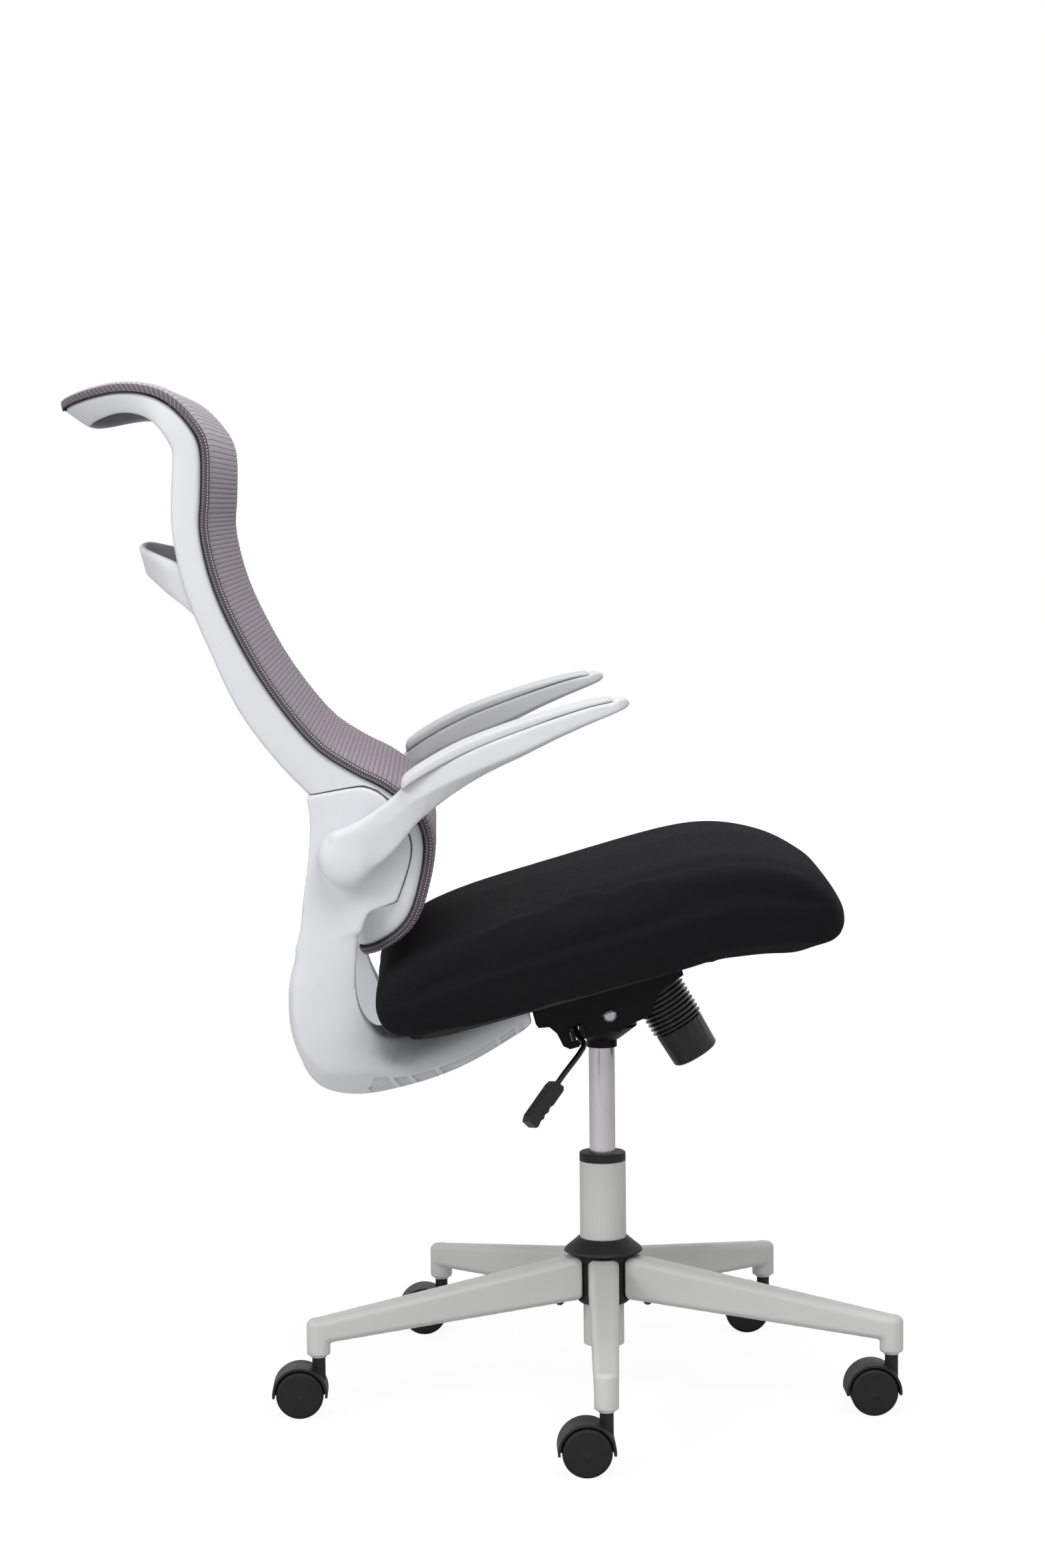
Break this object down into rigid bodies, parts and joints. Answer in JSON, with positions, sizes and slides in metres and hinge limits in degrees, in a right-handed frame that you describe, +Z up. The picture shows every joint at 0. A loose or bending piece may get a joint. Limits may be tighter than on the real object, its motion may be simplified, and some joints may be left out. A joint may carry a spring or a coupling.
{
  "type": "office chair",
  "caption": "Swivel office chair with ribbed mesh back, padded black seat, flip-up arms, tilt mechanism and castored star base.",
  "frame": {"origin": "floor point under the gas lift column", "axes": "+Z up, +X the way the seat faces, +Y towards the left arm of a sitting person"},
  "size_m": [0.8701, 0.6298, 1.0813],
  "materials": {
    "frame_plastic": "light cool grey moulding, satin",
    "pad_plastic": "light grey soft-touch moulding",
    "base_plastic": "light grey moulding, satin",
    "black_plastic": "matt black",
    "wheel_plastic": "fine-grained matt black",
    "knob_plastic": "semi-gloss black",
    "bellows_rubber": "ribbed black",
    "tube_chrome": "brushed bright tube",
    "zinc_steel": "zinc plated",
    "black_steel": "blackened",
    "black_paint": "gloss black",
    "plywood": "bare plywood",
    "seat_cloth": "black woven cloth over foam",
    "mesh_cloth": "purple-grey ribbed mesh"
  },
  "bodies": {
    "base": {"base_hub": "black_plastic", "hub_cover": "black_plastic", "leg_1": "base_plastic", "leg_2": "base_plastic", "leg_3": "base_plastic", "leg_4": "base_plastic", "leg_5": "base_plastic", "leg_screws": "black_steel", "outer_column": "base_plastic", "column_bush": "black_plastic", "thrust_bearing": "zinc_steel"},
    "column_core": {"piston_rod": "tube_chrome", "column_clip": "zinc_steel"},
    "lift": {"gas_cylinder": "tube_chrome", "column_bracket": "black_paint"},
    "valve": {"valve_button": "zinc_steel"},
    "seat_and_back": {"mech_housing": "black_paint", "pivot_bolt": "zinc_steel", "tension_spring": "zinc_steel", "bellows": "bellows_rubber", "seat_board": "plywood", "seat_bolts": "black_steel", "seat_cushion": "seat_cloth", "back_strut": "frame_plastic", "strut_bolts": "black_steel", "back_frame": "frame_plastic", "back_mesh": "mesh_cloth", "coat_hanger": "frame_plastic", "cheek_screws": "black_steel", "arm_pins": "zinc_steel"},
    "knob": {"tension_knob": "knob_plastic", "knob_bolt": "zinc_steel"},
    "lever_slide": {"lever_bush": "black_plastic"},
    "lever": {"lever_rod": "black_steel", "lever_paddle": "knob_plastic"},
    "right_armrest": {"right_arm": "frame_plastic", "right_pad": "pad_plastic"},
    "left_armrest": {"left_arm": "frame_plastic", "left_pad": "pad_plastic"},
    "caster_1": {"hood_1": "black_plastic", "caster_pins_1": "zinc_steel"},
    "caster_wheels_1": {"wheels_1": "wheel_plastic"},
    "caster_2": {"hood_2": "black_plastic", "caster_pins_2": "zinc_steel"},
    "caster_wheels_2": {"wheels_2": "wheel_plastic"},
    "caster_3": {"hood_3": "black_plastic", "caster_pins_3": "zinc_steel"},
    "caster_wheels_3": {"wheels_3": "wheel_plastic"},
    "caster_4": {"hood_4": "black_plastic", "caster_pins_4": "zinc_steel"},
    "caster_wheels_4": {"wheels_4": "wheel_plastic"},
    "caster_5": {"hood_5": "black_plastic", "caster_pins_5": "zinc_steel"},
    "caster_wheels_5": {"wheels_5": "wheel_plastic"}
  },
  "joints": [
    {"name": "seat_swivel", "type": "hinge", "parent": "base", "child": "column_core", "pos_m": [0, 0, 0.06], "axis": [0, 0, 1], "continuous": true},
    {"name": "seat_height", "type": "slide", "parent": "column_core", "child": "lift", "axis": [0, 0, 1], "range_m": [-0.1, 0]},
    {"name": "back_tilt", "type": "hinge", "parent": "lift", "child": "seat_and_back", "pos_m": [0.006, 0, 0.418], "axis": [0, 1, 0], "range_deg": [0, 15]},
    {"name": "tension_turn", "type": "hinge", "parent": "seat_and_back", "child": "knob", "pos_m": [0.08248, 0, 0.39915], "axis": [-0.5075, 0, 0.8616], "continuous": true},
    {"name": "tilt_lock", "type": "slide", "parent": "seat_and_back", "child": "lever_slide", "axis": [0, -1, 0], "range_m": [0, 0.012]},
    {"name": "lever_lift", "type": "hinge", "parent": "lever_slide", "child": "lever", "pos_m": [-0.02838, -0.048, 0.39947], "axis": [-0.9659, 0, -0.2588], "range_deg": [0, 6]},
    {"name": "valve_press", "type": "slide", "parent": "lift", "child": "valve", "axis": [0, 0, 1], "range_m": [-0.0045, 0]},
    {"name": "right_arm_flip", "type": "hinge", "parent": "seat_and_back", "child": "right_armrest", "pos_m": [-0.26477, -0.246, 0.60944], "axis": [0, -1, 0], "range_deg": [0, 90]},
    {"name": "left_arm_flip", "type": "hinge", "parent": "seat_and_back", "child": "left_armrest", "pos_m": [-0.26477, 0.246, 0.60944], "axis": [0, -1, 0], "range_deg": [0, 90]},
    {"name": "caster_swivel_1", "type": "hinge", "parent": "base", "child": "caster_1", "pos_m": [-0.01332, -0.31772, 0.064], "axis": [0, 0, 1], "continuous": true},
    {"name": "wheel_roll_1", "type": "hinge", "parent": "caster_1", "child": "caster_wheels_1", "pos_m": [-0.03332, -0.31772, 0.025], "axis": [0, 1, 0], "continuous": true},
    {"name": "caster_swivel_2", "type": "hinge", "parent": "base", "child": "caster_2", "pos_m": [0.29806, -0.11085, 0.064], "axis": [0, 0, 1], "continuous": true},
    {"name": "wheel_roll_2", "type": "hinge", "parent": "caster_2", "child": "caster_wheels_2", "pos_m": [0.27806, -0.11085, 0.025], "axis": [0, 1, 0], "continuous": true},
    {"name": "caster_swivel_3", "type": "hinge", "parent": "base", "child": "caster_3", "pos_m": [0.19753, 0.24921, 0.064], "axis": [0, 0, 1], "continuous": true},
    {"name": "wheel_roll_3", "type": "hinge", "parent": "caster_3", "child": "caster_wheels_3", "pos_m": [0.17752, 0.24921, 0.025], "axis": [0, 1, 0], "continuous": true},
    {"name": "caster_swivel_4", "type": "hinge", "parent": "base", "child": "caster_4", "pos_m": [-0.17598, 0.26487, 0.064], "axis": [0, 0, 1], "continuous": true},
    {"name": "wheel_roll_4", "type": "hinge", "parent": "caster_4", "child": "caster_wheels_4", "pos_m": [-0.19598, 0.26487, 0.025], "axis": [0, 1, 0], "continuous": true},
    {"name": "caster_swivel_5", "type": "hinge", "parent": "base", "child": "caster_5", "pos_m": [-0.30629, -0.08552, 0.064], "axis": [0, 0, 1], "continuous": true},
    {"name": "wheel_roll_5", "type": "hinge", "parent": "caster_5", "child": "caster_wheels_5", "pos_m": [-0.32629, -0.08552, 0.025], "axis": [0, 1, 0], "continuous": true}
  ],
  "couplings": [
    {"joint": "valve_press", "follows": "lever_lift", "m_per_rad": -0.04297}
  ]
}
